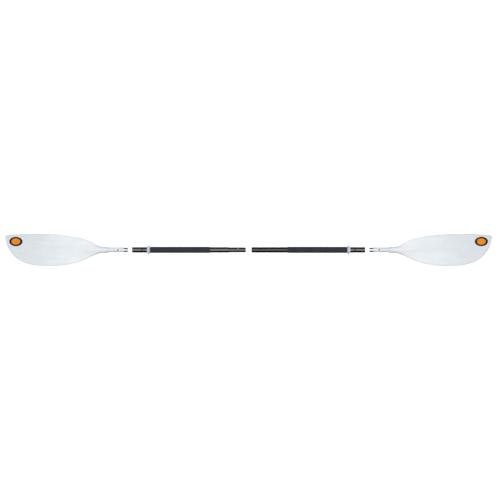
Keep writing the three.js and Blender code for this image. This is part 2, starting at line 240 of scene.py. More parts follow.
# Black anodised aluminium, drawn and lacquered: a deep glossy black over faint die lines along the
# tube, with hairline scratches round it from the sliding joints. A socket end is left bare.
def anodised(name, hexCode, roughness, coat):
    material, tree, shader, place = startMaterial(name, {
        "Base Color": linearColor(hexCode), "IOR": 1.75, "Coat Roughness": 0.1, "Coat IOR": 1.7,
    })
    drawn = addNode(tree, "ShaderNodeMapping", {"Vector": place, "Scale": (0.004, 1.0, 1.0)})
    lines = addNode(tree, "ShaderNodeTexNoise", {"Vector": drawn, "Scale": 1000 / 1.2, "Detail": 3.0})
    rubbed = addNode(tree, "ShaderNodeMapping", {"Vector": place, "Scale": (1.0, 0.03, 0.03)})
    scratches = addNode(tree, "ShaderNodeTexNoise", {
        "Vector": rubbed, "Scale": 1000 / 2.5, "Detail": 6.0, "Roughness": 0.8,
    })
    marked = addNode(tree, "ShaderNodeMapRange", {
        "Value": scratches, "From Min": 0.62, "From Max": 0.78,
        "To Min": 0.0, "To Max": 0.14,
    })
    base = addNode(tree, "ShaderNodeMapRange", {
        "Value": lines, **noiseRange,
        "To Min": roughness - 0.04, "To Max": roughness + 0.06,
    })
    rough = addNode(tree, "ShaderNodeMath", {0: base, 1: marked})
    bare = addNode(tree, "ShaderNodeAttribute", attribute_name="bare")
    lacquer = addNode(tree, "ShaderNodeMath", {
        0: bare.outputs["Fac"], 1: -coat, 2: coat,
    }, operation="MULTIPLY_ADD")
    bump = addNode(tree, "ShaderNodeBump", {"Height": lines, "Strength": 0.15, "Distance": 0.00003})
    dress(tree, shader, {"Roughness": rough, "Coat Weight": lacquer, "Normal": bump})
    return material


# Aluminium tube, machined and polished: bright, with fine lathe rings and a touch of brown oxide.
def polishedAluminium():
    material, tree, shader, place = startMaterial("polishedAluminium", {"Metallic": 1.0})
    turned = addNode(tree, "ShaderNodeMapping", {"Vector": place, "Scale": (1.0, 0.01, 0.01)})
    rings = addNode(tree, "ShaderNodeTexNoise", {"Vector": turned, "Scale": 1000 / 0.7, "Detail": 3.0})
    stains = addNode(tree, "ShaderNodeTexNoise", {"Vector": place, "Scale": 1000 / 14, "Detail": 4.0})
    tint = addNode(tree, "ShaderNodeValToRGB", {0: stains})
    stops(tint, (0.35, "#e6e8ea"), (0.7, "#d2d2d0"))
    rough = addNode(tree, "ShaderNodeMapRange", {
        "Value": rings, **noiseRange, "To Min": 0.22, "To Max": 0.38,
    })
    bump = addNode(tree, "ShaderNodeBump", {"Height": rings, "Strength": 0.3, "Distance": 0.00004})
    dress(tree, shader, {"Base Color": tint, "Roughness": rough, "Normal": bump})
    return material


# Closed-cell EVA grip sleeve, ground to size: charcoal, fully matte, with a pebbled skin of cells
# drawn at 1.6 mm, coarser than the real 0.5 mm so that it shows, and paler where hands rub it.
def gripFoam():
    material, tree, shader, place = startMaterial("closedCellEva", {
        "IOR": 1.45, "Specular IOR Level": 0.3, "Sheen Weight": 0.12, "Sheen Roughness": 0.5,
    })
    cells = addNode(tree, "ShaderNodeTexVoronoi", {"Vector": place, "Scale": 1000 / 1.6})
    patches = addNode(tree, "ShaderNodeTexNoise", {"Vector": place, "Scale": 1000 / 45, "Detail": 4.0})
    mixed = addNode(tree, "ShaderNodeMath", {
        0: cells.outputs["Distance"], 1: 0.35, 2: patches,
    }, operation="MULTIPLY_ADD")
    tone = addNode(tree, "ShaderNodeValToRGB", {0: mixed})
    stops(tone, (0.35, "#232529"), (0.85, "#36383d"))
    rough = addNode(tree, "ShaderNodeMapRange", {
        "Value": patches, **noiseRange, "To Min": 0.72, "To Max": 0.92,
    })
    bump = addNode(tree, "ShaderNodeBump", {
        "Height": cells.outputs["Distance"], "Strength": 0.5, "Distance": 0.00025,
    }, invert=True)
    dress(tree, shader, {"Base Color": tone, "Roughness": rough, "Normal": bump})
    return material


# Translucent silicone rubber, moulded: milky with a lavender cast, soft gloss, a faint bloom.
def milkySilicone():
    material, tree, shader, place = startMaterial("milkySilicone", {
        "IOR": 1.41, "Subsurface Weight": 0.18, "Subsurface Scale": 0.003,
        "Subsurface Radius": (0.9, 0.9, 1.0),
    })
    bloom = addNode(tree, "ShaderNodeTexNoise", {"Vector": place, "Scale": 1000 / 7, "Detail": 4.0})
    tint = addNode(tree, "ShaderNodeValToRGB", {0: bloom})
    stops(tint, (0.3, "#e0e0f5"), (0.7, "#eaeafd"))
    rough = addNode(tree, "ShaderNodeMapRange", {
        "Value": bloom, **noiseRange, "To Min": 0.3, "To Max": 0.48,
    })
    skin = addNode(tree, "ShaderNodeTexNoise", {"Vector": place, "Scale": 1000 / 1.1, "Detail": 2.0})
    bump = addNode(tree, "ShaderNodeBump", {"Height": skin, "Strength": 0.15, "Distance": 0.0001})
    dress(tree, shader, {"Base Color": tint, "Roughness": rough, "Normal": bump})
    return material


# Steel in three states: rolled spring strip, a blackened pin, and a bright plated pin. Each has
# fine working marks, and brown or bright rubbed patches between the two given colours.
def steel(name, lowHex, highHex, roughness, marks):
    material, tree, shader, place = startMaterial(name, {"Metallic": 1.0})
    worked = addNode(tree, "ShaderNodeMapping", {"Vector": place, "Scale": marks})
    lines = addNode(tree, "ShaderNodeTexNoise", {"Vector": worked, "Scale": 1000 / 0.5, "Detail": 3.0})
    patches = addNode(tree, "ShaderNodeTexNoise", {"Vector": place, "Scale": 1000 / 4, "Detail": 5.0})
    tone = addNode(tree, "ShaderNodeValToRGB", {0: patches})
    stops(tone, (0.38, lowHex), (0.66, highHex))
    rough = addNode(tree, "ShaderNodeMapRange", {
        "Value": lines, **noiseRange,
        "To Min": roughness - 0.08, "To Max": roughness + 0.1,
    })
    bump = addNode(tree, "ShaderNodeBump", {"Height": lines, "Strength": 0.25, "Distance": 0.00003})
    dress(tree, shader, {"Base Color": tone, "Roughness": rough, "Normal": bump})
    return material


# Cross-linked polyethylene foam, die cut: dark, dry, with open cells on its cut faces.
def plugFoam():
    material, tree, shader, place = startMaterial("polyethyleneFoam", {
        "IOR": 1.4, "Specular IOR Level": 0.25,
    })
    cells = addNode(tree, "ShaderNodeTexVoronoi", {"Vector": place, "Scale": 1000 / 1.3})
    tone = addNode(tree, "ShaderNodeValToRGB", {0: cells.outputs["Distance"]})
    stops(tone, (0.1, "#1d1c1a"), (0.8, "#45423c"))
    rough = addNode(tree, "ShaderNodeMapRange", {
        "Value": cells.outputs["Distance"], "To Min": 0.85, "To Max": 0.98,
    })
    bump = addNode(tree, "ShaderNodeBump", {
        "Height": cells.outputs["Distance"], "Strength": 0.6, "Distance": 0.0003,
    }, invert=True)
    dress(tree, shader, {"Base Color": tone, "Roughness": rough, "Normal": bump})
    return material


# Printed vinyl film under a clear laminate: an oval with a pale border, and a plain orange oval on
# black. The artwork is laid out in the film's own half-widths.
def printedFilm(name, centre, halfSize):
    art = {
        "border": 0.932, "pale": "#eceff6", "black": "#0a0b10", "middle": 0.62,
        "orange": "#ff9614", "orangeDeep": "#f08008",
    }
    material, tree, shader, place = startMaterial(name, {"IOR": 1.45, "Specular IOR Level": 0.2})
    inOval = addNode(tree, "ShaderNodeMapping", {
        "Vector": place,
        "Location": (-centre[0] / halfSize[0], -centre[1] / halfSize[1], 0.0),
        "Scale": (1 / halfSize[0], 1 / halfSize[1], 0.0),
    })
    length = addNode(tree, "ShaderNodeVectorMath", {0: inOval}, operation="LENGTH")
    radius = length.outputs["Value"]
    ink = addNode(tree, "ShaderNodeTexNoise", {"Vector": place, "Scale": 1000 / 5, "Detail": 3.0})
    tint = addNode(tree, "ShaderNodeValToRGB", {0: ink})
    stops(tint, (0.35, art["orangeDeep"]), (0.65, art["orange"]))
    inside = addNode(tree, "ShaderNodeMath", {0: radius, 1: art["middle"]}, operation="LESS_THAN")
    field = addNode(tree, "ShaderNodeMixRGB", {0: inside, 1: linearColor(art["black"]), 2: tint})
    outside = addNode(tree, "ShaderNodeMath", {0: radius, 1: art["border"]}, operation="GREATER_THAN")
    whole = addNode(tree, "ShaderNodeMixRGB", {0: outside, 1: field, 2: linearColor(art["pale"])})
    rough = addNode(tree, "ShaderNodeMapRange", {
        "Value": ink, **noiseRange, "To Min": 0.38, "To Max": 0.5,
    })
    dress(tree, shader, {"Base Color": whole, "Roughness": rough})
    return material


finishes = {
    "nylon": filledNylon(),
    "shaft": anodised("blackAnodisedAluminium", "#020203", 0.14, 1.0),
    "ferrule": anodised("satinAnodisedAluminium", "#050507", 0.17, 0.8),
    "core": polishedAluminium(),
    "grip": gripFoam(),
    "ring": milkySilicone(),
    "plug": plugFoam(),
    "spring": steel("rolledSpringSteel", "#77797c", "#9da0a3", 0.34, (0.03, 1.0, 1.0)),
    "darkPin": steel("blackenedSteel", "#24262b", "#3a3c42", 0.32, (1.0, 1.0, 0.05)),
    "brightPin": steel("platedSteel", "#c9cccf", "#e2e4e6", 0.2, (1.0, 1.0, 0.05)),
}
print("stage: materials made")


# Geometry trees, with named inputs in millimetres.

def startTree(name, sizes, counts=()):
    tree = bpy.data.node_groups.new(name, "GeometryNodeTree")
    inputs = {"Geometry": "Geometry", **dict.fromkeys(sizes, "Float"), **dict.fromkeys(counts, "Int")}
    for label, kind in {**inputs, "Material": "Material"}.items():
        tree.interface.new_socket(label, in_out="INPUT", socket_type="NodeSocket" + kind)
    tree.interface.new_socket("Geometry", in_out="OUTPUT", socket_type="NodeSocketGeometry")
    return tree, addNode(tree, "NodeGroupInput").outputs


def endTree(tree, geometry, given):
    real = addNode(tree, "GeometryNodeRealizeInstances", {0: geometry})
    painted = addNode(tree, "GeometryNodeSetMaterial", {0: real, "Material": given["Material"]})
    addNode(tree, "NodeGroupOutput", {0: painted})
    return tree


# Round holes drilled through one wall of a tube, side by side at equal angles. The bit reaches from
# near the tube's axis to well past its wall.
bit = {"sides": 64, "depth": 24.0, "middle": 13}


def drillTree():
    sizes = "Hole Radius", "Distance", "First Angle", "Angle Step"
    tree, given = startTree("drillHoles", sizes, counts=["Count"])
    tool = addNode(tree, "GeometryNodeMeshCylinder", {
        "Vertices": bit["sides"], "Radius": given["Hole Radius"], "Depth": bit["depth"],
    })
    raised = addNode(tree, "GeometryNodeTransform", {0: tool, "Translation": (0, 0, bit["middle"])})
    spots = addNode(tree, "GeometryNodeMeshLine", {"Count": given["Count"], "Offset": (0, 0, 0)})
    number = addNode(tree, "GeometryNodeInputIndex")
    angle = addNode(tree, "ShaderNodeMath", {
        0: number, 1: given["Angle Step"], 2: given["First Angle"],
    }, operation="MULTIPLY_ADD")
    turn = addNode(tree, "ShaderNodeMath", {0: angle, 1: -1.0}, operation="MULTIPLY")
    rotation = addNode(tree, "ShaderNodeCombineXYZ", {0: turn})
    bits = addNode(tree, "GeometryNodeInstanceOnPoints", {
        "Points": spots, "Instance": raised, "Rotation": rotation,
    })
    real = addNode(tree, "GeometryNodeRealizeInstances", {0: bits})
    shift = addNode(tree, "ShaderNodeCombineXYZ", {0: given["Distance"]})
    placed = addNode(tree, "GeometryNodeTransform", {0: real, "Translation": shift})
    drilled = addNode(tree, "GeometryNodeMeshBoolean", {
        "Mesh 1": given["Geometry"], "Mesh 2": placed,
    }, operation="DIFFERENCE", solver="EXACT")
    return endTree(tree, drilled, given)


# Moulded bands that stand up round the insert at an equal pitch, with a smooth oval pad at the
# button. Only points marked insertSkin move, outwards from the axis.
def bandTree():
    padEdge = {"From Min": 0.42, "From Max": 0.52}  # in shares of the pad's length
    tree, given = startTree("mouldBands", [
        "Start", "Pitch", "Count", "Length", "Slope", "Rise", "Pad Centre", "Pad Length", "Pad Width",
    ])
    here = addNode(tree, "GeometryNodeInputPosition")
    split = addNode(tree, "ShaderNodeSeparateXYZ", {0: here})
    x, y, z = split.outputs
    beyond = addNode(tree, "ShaderNodeMath", {0: x, 1: given["Start"]}, operation="SUBTRACT")
    turns = addNode(tree, "ShaderNodeMath", {0: beyond, 1: given["Pitch"]}, operation="DIVIDE")
    part = addNode(tree, "ShaderNodeMath", {0: turns}, operation="FRACT")
    inBand = addNode(tree, "ShaderNodeMath", {0: part, 1: given["Pitch"]}, operation="MULTIPLY")
    rising = addNode(tree, "ShaderNodeMapRange", {
        "Value": inBand, "From Min": 0.0, "From Max": given["Slope"],
    }, interpolation_type="SMOOTHSTEP")
    flank = addNode(tree, "ShaderNodeMath", {
        0: given["Length"], 1: given["Slope"],
    }, operation="SUBTRACT")
    falling = addNode(tree, "ShaderNodeMapRange", {
        "Value": inBand, "From Min": flank, "From Max": given["Length"],
        "To Min": 1.0, "To Max": 0.0,
    }, interpolation_type="SMOOTHSTEP")
    band = addNode(tree, "ShaderNodeMath", {0: rising, 1: falling}, operation="MULTIPLY")
    started = addNode(tree, "ShaderNodeMath", {0: turns, 1: 0.0}, operation="GREATER_THAN")
    unfinished = addNode(tree, "ShaderNodeMath", {0: turns, 1: given["Count"]}, operation="LESS_THAN")
    counted = addNode(tree, "ShaderNodeMath", {0: started, 1: unfinished}, operation="MULTIPLY")
    bands = addNode(tree, "ShaderNodeMath", {0: band, 1: counted}, operation="MULTIPLY")
    fromPad = addNode(tree, "ShaderNodeMath", {0: x, 1: given["Pad Centre"]}, operation="SUBTRACT")
    padX = addNode(tree, "ShaderNodeMath", {0: fromPad, 1: given["Pad Length"]}, operation="DIVIDE")
    padY = addNode(tree, "ShaderNodeMath", {0: y, 1: given["Pad Width"]}, operation="DIVIDE")
    below = addNode(tree, "ShaderNodeMath", {0: z, 1: 0.0}, operation="LESS_THAN")
    oval = addNode(tree, "ShaderNodeCombineXYZ", {0: padX, 1: padY, 2: below})
    ovalRadius = addNode(tree, "ShaderNodeVectorMath", {0: oval}, operation="LENGTH")
    pad = addNode(tree, "ShaderNodeMapRange", {
        "Value": ovalRadius.outputs["Value"], **padEdge, "To Min": 1.0, "To Max": 0.0,
    }, interpolation_type="SMOOTHSTEP")
    higher = addNode(tree, "ShaderNodeMath", {0: bands, 1: pad}, operation="MAXIMUM")
    marked = addNode(tree, "GeometryNodeInputNamedAttribute", {"Name": "insertSkin"}, data_type="FLOAT")
    lifted = addNode(tree, "ShaderNodeMath", {0: higher, 1: marked}, operation="MULTIPLY")
    rise = addNode(tree, "ShaderNodeMath", {0: lifted, 1: given["Rise"]}, operation="MULTIPLY")
    across = addNode(tree, "ShaderNodeCombineXYZ", {1: y, 2: z})
    radial = addNode(tree, "ShaderNodeVectorMath", {0: across}, operation="NORMALIZE")
    offset = addNode(tree, "ShaderNodeVectorMath", {0: radial, "Scale": rise}, operation="SCALE")
    moulded = addNode(tree, "GeometryNodeSetPosition", {0: given["Geometry"], "Offset": offset})
    # the pad mark makes the pad smoother and paints it lighter as a highlight
    polished = addNode(tree, "ShaderNodeMath", {0: pad, 1: marked}, operation="MULTIPLY")
    noted = addNode(tree, "GeometryNodeStoreNamedAttribute", {
        0: moulded, "Name": "pad", "Value": polished,
    }, data_type="FLOAT", domain="POINT")
    return endTree(tree, noted, given)


# A flat strip with rounded edges that follows a bent path.
def stripTree():
    tree, given = startTree("bendStrip", ["Width", "Thickness", "Edge Radius"])
    path = addNode(tree, "GeometryNodeMeshToCurve", {0: given["Geometry"]})
    section = addNode(tree, "GeometryNodeCurvePrimitiveQuadrilateral", {
        "Width": given["Width"], "Height": given["Thickness"],
    })
    rounded = addNode(tree, "GeometryNodeFilletCurve", {
        "Curve": section, "Count": 4, "Radius": given["Edge Radius"],
    }, mode="POLY")
    swept = addNode(tree, "GeometryNodeCurveToMesh", {
        "Curve": path, "Profile Curve": rounded, "Fill Caps": True,
    })
    return endTree(tree, swept, given)


drillHoles = drillTree()
mouldBands = bandTree()
bendStrip = stripTree()


def applyTree(piece, tree, values):
    modifier = piece.modifiers.new(tree.name, "NODES")
    modifier.node_group = tree
    for item in tree.interface.items_tree:
        if item.item_type == "SOCKET" and item.in_out == "INPUT" and item.name in values:
            modifier[item.identifier] = values[item.name]
    graph = bpy.context.evaluated_depsgraph_get()
    made = bpy.data.meshes.new_from_object(piece.evaluated_get(graph))
    piece.modifiers.clear()
    piece.data = made


def newPiece(name, points, faces, edges=()):
    mesh = bpy.data.meshes.new(name)
    mesh.from_pydata([tuple(p) for p in points], list(edges), faces)
    mesh.update()
    piece = bpy.data.objects.new(name, mesh)
    bpy.context.scene.collection.objects.link(piece)
    return piece


# a number for each point, that trees and materials read
def mark(piece, name, values):
    piece.data.attributes.new(name, "FLOAT", "POINT").data.foreach_set("value", values)


# circles about the x axis at [x, radius]
def circles(profile, angles):
    return [
        np.stack([np.full(len(angles), x), radius * np.cos(angles), radius * np.sin(angles)], 1)
        for x, radius in profile
    ]


# Rings of equal length, joined into a skin. A ring of one repeated point closes an end.
def skin(name, rings, closeAround=False):
    count = len(rings[0])
    points = np.concatenate(rings)
    faces = []
    rows = len(rings) if closeAround else len(rings) - 1
    for j in range(rows):
        first, second = j * count, ((j + 1) % len(rings)) * count
        for i in range(count):
            k = (i + 1) % count
            faces.append((first + i, first + k, second + k, second + i))
    return newPiece(name, points, faces)


# A turned piece from [x, radius] points: outwards along the outside, then back.
def turned(name, profile, segments=96):
    angles = np.linspace(0, 2 * math.pi, segments, endpoint=False)
    return skin(name, circles(profile, angles), closeAround=profile[0][1] > 0)


# points of a quarter-round corner, from one direction to the next, in profile coordinates
def corner(x, radius, size, start, steps=5):
    angles = [math.radians(start - 90 * i / steps) for i in range(steps + 1)]
    return [(x + size * math.cos(a), radius + size * math.sin(a)) for a in angles]


# stations along a straight stretch, so that drilled holes shade well
def stations(start, end, radius, step=6):
    count = max(1, round(abs(end - start) / step))
    return [(start + (end - start) * i / count, radius) for i in range(count + 1)]


clean = {"mergeDistance": 0.000002, "shortestEdge": 0.000001}


# Brings a finished piece to its side, cleans it, gives it its body and finish, and hides the CAD node
# that it replaces.
def settle(piece, side, body, node, finish, sharpAngle=32):
    mesh = piece.data
    scale = Matrix.Diagonal((sides[side] * millimetre, millimetre, millimetre, 1))
    mesh.transform(Matrix.Translation((0, 0, axisHeight)) @ scale)
    if sides[side] < 0:
        mesh.flip_normals()
    shell = bmesh.new()
    shell.from_mesh(mesh)
    bmesh.ops.remove_doubles(shell, verts=shell.verts, dist=clean["mergeDistance"])
    bmesh.ops.dissolve_degenerate(shell, edges=shell.edges, dist=clean["shortestEdge"])
    bmesh.ops.recalc_face_normals(shell, faces=shell.faces)
    shell.to_mesh(mesh)
    shell.free()
    mesh.shade_smooth()
    mesh.set_sharp_from_angle(angle=math.radians(sharpAngle))
    mesh.materials.clear()
    mesh.materials.append(finish)
    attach(piece, body)
    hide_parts(node)


# Blades. The surface is a middle sheet, spooned along and cupped across, with a spine on each
# face that runs out of the round neck. s is measured from the shoulder.
blade = {
    "length": 569, "neckRadius": 16.5, "neckStraight": 36, "neckInset": 2, "neckStep": 3,
    "plateFrom": 105, "spoonDepth": 19, "spoonEase": 0.25, "cupDepth": 9, "cupAlong": (60, 260),
    "halfWidth": 89.5, "halfPlate": 1.5,
    "front": {"spineEnd": 250, "spineWidth": 20}, "back": {"spineEnd": 370, "spineWidth": 10},
    "spineWidening": 0.05, "crestShift": 8, "shiftAlong": (60, 220), "crestSoftness": 0.2,
    "crestSlope": 1.7, "lowerFlank": 1.4, "flankAlong": (40, 110),
    "rimWidth": 7, "rimDrop": 0.8, "edgeRadius": 1.5, "rimShadeAcross": (1, 8),
    "ribs": 250, "ribSteps": 48, "ribsEvenAt": 0.35, "ribSpread": 1.6, "outlineSteps": 4000,
    "straightEdge": [
        (36, 16.5), (60, 25), (92, 45), (135, 63), (190, 74), (265, 84.5), (350, 88.95),
        (430, 89.35), (505, 86.4), (552, 82.6), (565, 79.5), (569, 72),
    ],
    "curvedEdge": [
        (36, -16.5), (60, -23), (92, -36.5), (135, -58), (190, -76), (255, -86.5), (325, -89.5),
        (385, -88.2), (435, -80.5), (480, -64.5), (520, -36), (550, 3), (565, 43), (569, 72),
    ],
}
# The insert: a skin that carries the bands, over the bore of the core tube. Its lip and root are
# (along, outwards), from its start and from the shoulder.
insert = {
    "skinRadius": 12.6, "boreRadius": 12.1, "coreDepth": 66.3, "bandRise": 0.7,
    "bandStart": 3.0, "bandPitch": 21.5, "bandCount": 4.0, "bandLength": 14.5, "bandSlope": 3.5,
    "padLength": 27.0, "padWidth": 17.0, "lip": [(0, -0.4), (0.3, -0.1)], "skinStep": 0.6,
    "skinInset": (0.7, 0.4), "root": [(-0.1, 0.1), (0, 0.5)], "shoulderEdge": 0.9,
}
button = {
    "radius": 4, "top": 15.3, "clearance": 0.3, "domeHeight": 1.5, "collarRadius": 5,
    "collarHeight": 1, "edge": 0.25, "fillet": 0.15, "domeSteps": 12, "travel": 4,
    "domeEase": [(0.3, 0), (0.05, 0.06)],
}

insertStart, bladeTip, _ = reach("blade_right")
shoulder = bladeTip - blade["length"]
buttonLow, buttonHigh = reach("blade_right_button")[:2]
buttonAt = (buttonLow + buttonHigh) / 2


def middleHeight(s, y):
    along = np.clip((s - blade["neckStraight"]) / (blade["length"] - blade["neckStraight"]), 0, 1)
    spoon = blade["spoonDepth"] * np.sin(np.pi * along) * smooth(along, 0, blade["spoonEase"])
    cup = blade["cupDepth"] * smooth(s, *blade["cupAlong"])
    return cup * (y / blade["halfWidth"]) ** 2 - spoon


# Half of the thickness on one face. The back spine is round. The front one has a soft crest,
# nearer to the straight edge, and falls off more gently towards the curved edge.
def faceHeight(s, y, front):
    face = blade["front" if front else "back"]
    fading = 1 - smooth(s, blade["neckStraight"], face["spineEnd"])
    spine = (blade["neckRadius"] - blade["halfPlate"]) * fading
    spread = face["spineWidth"] + s * blade["spineWidening"]
    if not front:
        return blade["halfPlate"] + spine * np.exp(-(y / spread) ** 2)
    off = y - blade["crestShift"] * smooth(s, *blade["shiftAlong"])
    gentler = 1 + (blade["lowerFlank"] - 1) * smooth(s, *blade["flankAlong"])
    out = off / (spread * np.where(off < 0, gentler, 1))
    soft = blade["crestSoftness"]
    crested = np.exp(-(np.sqrt(out ** 2 + soft ** 2) - soft) * blade["crestSlope"])
    return blade["halfPlate"] + spine * (np.exp(-out ** 2) + crested) / 2


def distanceToOutline(points, outline):
    tree = kdtree.KDTree(len(outline))
    for i, p in enumerate(outline):
        tree.insert((p[0], p[1], 0), i)
    tree.balance()
    return np.array([tree.find((p[0], p[1], 0))[2] for p in points])


# the rings of the blade proper, closer together at the neck and the tip, and how near each point is to
# the rim, from 0 to 1, where the material paints shade along the rim
def bladeRings():
    share = np.linspace(0, 1, blade["ribs"] + 1)
    crowded = share * (1 - share) * (share - blade["ribsEvenAt"]) / blade["ribSpread"]
    eased = share + crowded
    upper = smoothLine(blade["straightEdge"], eased)
    lower = smoothLine(blade["curvedEdge"], eased)
    outline = np.concatenate([
        smoothLine(blade[edge], blade["outlineSteps"]) for edge in ("straightEdge", "curvedEdge")
    ])
    steps = blade["ribSteps"]
    angles = np.pi * np.arange(2 * steps) / steps
    mix = ((1 + np.cos(angles)) / 2)[None, :, None]
    plan = lower[:, None, :] + (upper - lower)[:, None, :] * mix
    s, y = plan[..., 0], plan[..., 1]
    away = distanceToOutline(plan.reshape(-1, 2), outline).reshape(s.shape)
    away[:, [0, steps]] = 0
    front = (np.arange(2 * steps) <= steps)[None, :]
    radius = blade["edgeRadius"]
    edge = np.sqrt(1 - (1 - np.minimum(away, radius) / radius) ** 2)
    plate = np.where(front, faceHeight(s, y, True), faceHeight(s, y, False))
    plate = plate - np.where(front, blade["rimDrop"] * (1 - smooth(away, 0, blade["rimWidth"])), 0)
    flat = smooth(s, blade["neckStraight"], blade["plateFrom"])
    rounded = blade["neckRadius"] * np.abs(np.sin(angles))[None, :]
    height = (1 - flat) * rounded + flat * plate * edge
    z = middleHeight(s, y) + np.where(front, height, -height)
    rimShadeMask = flat * (1 - smooth(away, *blade["rimShadeAcross"]))
    return np.stack([shoulder + s, y, z], -1), rimShadeMask


def bladePiece(side):
    name = f"blade_{side}"
    rings, rimShadeMask = bladeRings()
    count = rings.shape[1]
    angles = np.pi * np.arange(count) / blade["ribSteps"]
    neckStart = shoulder + blade["neckInset"]
    neckEnd = shoulder + blade["neckStraight"] - blade["neckInset"]
    skinRadius, boreRadius = insert["skinRadius"], insert["boreRadius"]
    deep = shoulder + insert["coreDepth"]
    bore = [(deep, 0), (deep, boreRadius), (shoulder, boreRadius), (insertStart, boreRadius)]
    lip = [(insertStart + x, skinRadius + out) for x, out in insert["lip"]]
    near, far = insert["skinInset"]
    insertSkin = stations(insertStart + near, shoulder - far, skinRadius, insert["skinStep"])
    root = [(shoulder + x, skinRadius + out) for x, out in insert["root"]]
    edge = insert["shoulderEdge"]
    step = corner(shoulder + edge, blade["neckRadius"] - edge, edge, 180)
    neck = stations(neckStart, neckEnd, blade["neckRadius"], blade["neckStep"])
    profile = [*bore, *lip, *insertSkin, *root, *step, *neck]
    piece = skin(name, [*circles(profile, angles), *rings])
    marks = np.zeros((len(profile) + len(rings), count), np.float32)
    firstSkin = len(bore) + len(lip)
    marks[firstSkin:firstSkin + len(insertSkin)] = 1
    mark(piece, "insertSkin", marks.ravel())
    # the rim mark sets where shade is painted along the blade's edge
    rim = np.zeros_like(marks)
    rim[len(profile):] = rimShadeMask
    mark(piece, "rim", rim.ravel())
    applyTree(piece, mouldBands, {
        "Start": insertStart + insert["bandStart"], "Pitch": insert["bandPitch"],
        "Count": insert["bandCount"], "Length": insert["bandLength"],
        "Slope": insert["bandSlope"], "Rise": insert["bandRise"], "Pad Centre": buttonAt,
        "Pad Length": insert["padLength"], "Pad Width": insert["padWidth"],
        "Material": finishes["nylon"],
    })
    drill(piece, buttonAt, "nylon")
    settle(piece, side, name, name, finishes["nylon"])


def drill(piece, distance, finish, count=1, first=0.0, step=0.0):
    applyTree(piece, drillHoles, {
        "Hole Radius": button["radius"] + button["clearance"], "Distance": distance,
        "Count": count, "First Angle": first, "Angle Step": step, "Material": finishes[finish],
    })


for side in sides:
    bladePiece(side)
print("stage: blades made")


# An oval film that lies on the power face.
decal = {
    "fromTip": 58, "offset": 46.5, "halfLength": 39, "halfWidth": 28, "top": 0.34, "under": 0.06,
    "flatShare": 0.994, "edge": [(1.0, 0.06), (1.0, 0.22), (0.999, 0.29)],
    "spokes": 96, "rows": 14, "lowerRows": 4,
}


def decalPiece(side):
    centre = blade["length"] - decal["fromTip"]
    angles = np.linspace(0, 2 * np.pi, decal["spokes"], endpoint=False)

    def row(share, lift):
        s = centre + decal["halfLength"] * share * np.cos(angles)
        y = decal["offset"] + decal["halfWidth"] * share * np.sin(angles)
        z = middleHeight(s, y) + faceHeight(s, y, True) + lift
        return np.stack([shoulder + s, y, z], 1)

    flat = decal["flatShare"]
    lower = [row(share, decal["under"]) for share in np.linspace(0, flat, decal["lowerRows"])]
    edge = [row(share, lift) for share, lift in decal["edge"]]
    upper = [row(share, decal["top"]) for share in np.linspace(flat, 0, decal["rows"])]
    piece = skin(f"blade_{side}_decal", [*lower, *edge, *upper])
    middle = sides[side] * (shoulder + centre) * millimetre, decal["offset"] * millimetre
    half = decal["halfLength"] * millimetre, decal["halfWidth"] * millimetre
    film = printedFilm(f"printedVinyl_{side}", middle, half)
    settle(piece, side, f"blade_{side}", f"blade_{side}_decal", film, sharpAngle=60)


for side in sides:
    decalPiece(side)


# Tubes, each with eased ends and its drilled holes.
def tubeProfile(start, end, radius, bore, ease=0.35, lead=None, gap=0.5):
    lead = lead or ease
    return [
        *corner(start + lead, radius - lead, lead, 180, 4),
        *stations(start + lead + gap, end - ease - gap, radius),
        *corner(end - ease, radius - ease, ease, 90, 3),
        *corner(end - ease, bore + ease, ease, 0, 3),
        *stations(end - ease - gap, start + ease + gap, bore),
        *corner(start + ease, bore + ease, ease, -90, 3),
    ]


wall = {"shaftBore": 13.5, "coreBore": 10.4, "ferruleBore": 11.7}
index = {"buttonFromEnd": 44, "holes": 3, "step": math.pi / 4, "clearance": 0.3, "bareTo": 300}
ferruleStart, ferruleRoot, ferruleRadius = reach("ferrule")
indexButtonAt = ferruleStart + index["buttonFromEnd"]
shaftEnd = reach("shaft_right_tube")[1]
bladeHoleAt = buttonAt - (shoulder - shaftEnd - index["clearance"])
centreTravel = reach("shaft_right_tube")[0] + reach("shaft_left_tube")[0] - index["clearance"]


def shaftPiece(side):
    node = f"shaft_{side}_tube"
    start, end, radius = reach(node)
    piece = turned(node, tubeProfile(start, end, radius, wall["shaftBore"]))
    drill(piece, bladeHoleAt, "shaft")
    if side == "right":
        drill(piece, centreTravel - indexButtonAt, "shaft", index["holes"], 0.0, index["step"])
        mark(piece, "bare", [float(v.co.x < index["bareTo"]) for v in piece.data.vertices])
    settle(piece, side, f"shaft_{side}", node, finishes["shaft"])


def ferrulePiece():
    profile = tubeProfile(ferruleStart, ferruleRoot, ferruleRadius, wall["ferruleBore"], lead=1.0)
    piece = turned("ferrule", profile)
    drill(piece, indexButtonAt, "ferrule", first=index["step"])
    settle(piece, "left", "shaft_left", "ferrule", finishes["ferrule"])


def corePiece(side):
    node = f"blade_{side}_core_tube"
    start, end, radius = reach(node)
    piece = turned(node, tubeProfile(start, end, radius, wall["coreBore"], lead=0.7))
    drill(piece, buttonAt, "core")
    settle(piece, side, f"blade_{side}", node, finishes["core"])


for side in sides:
    shaftPiece(side)
    corePiece(side)
ferrulePiece()
print("stage: tubes drilled")


# Grips: foam sleeves, drawn in a little at both ends.
grip = {"taper": 6, "tuck": 0.9, "edge": 0.7, "bore": 15, "step": 1.5}


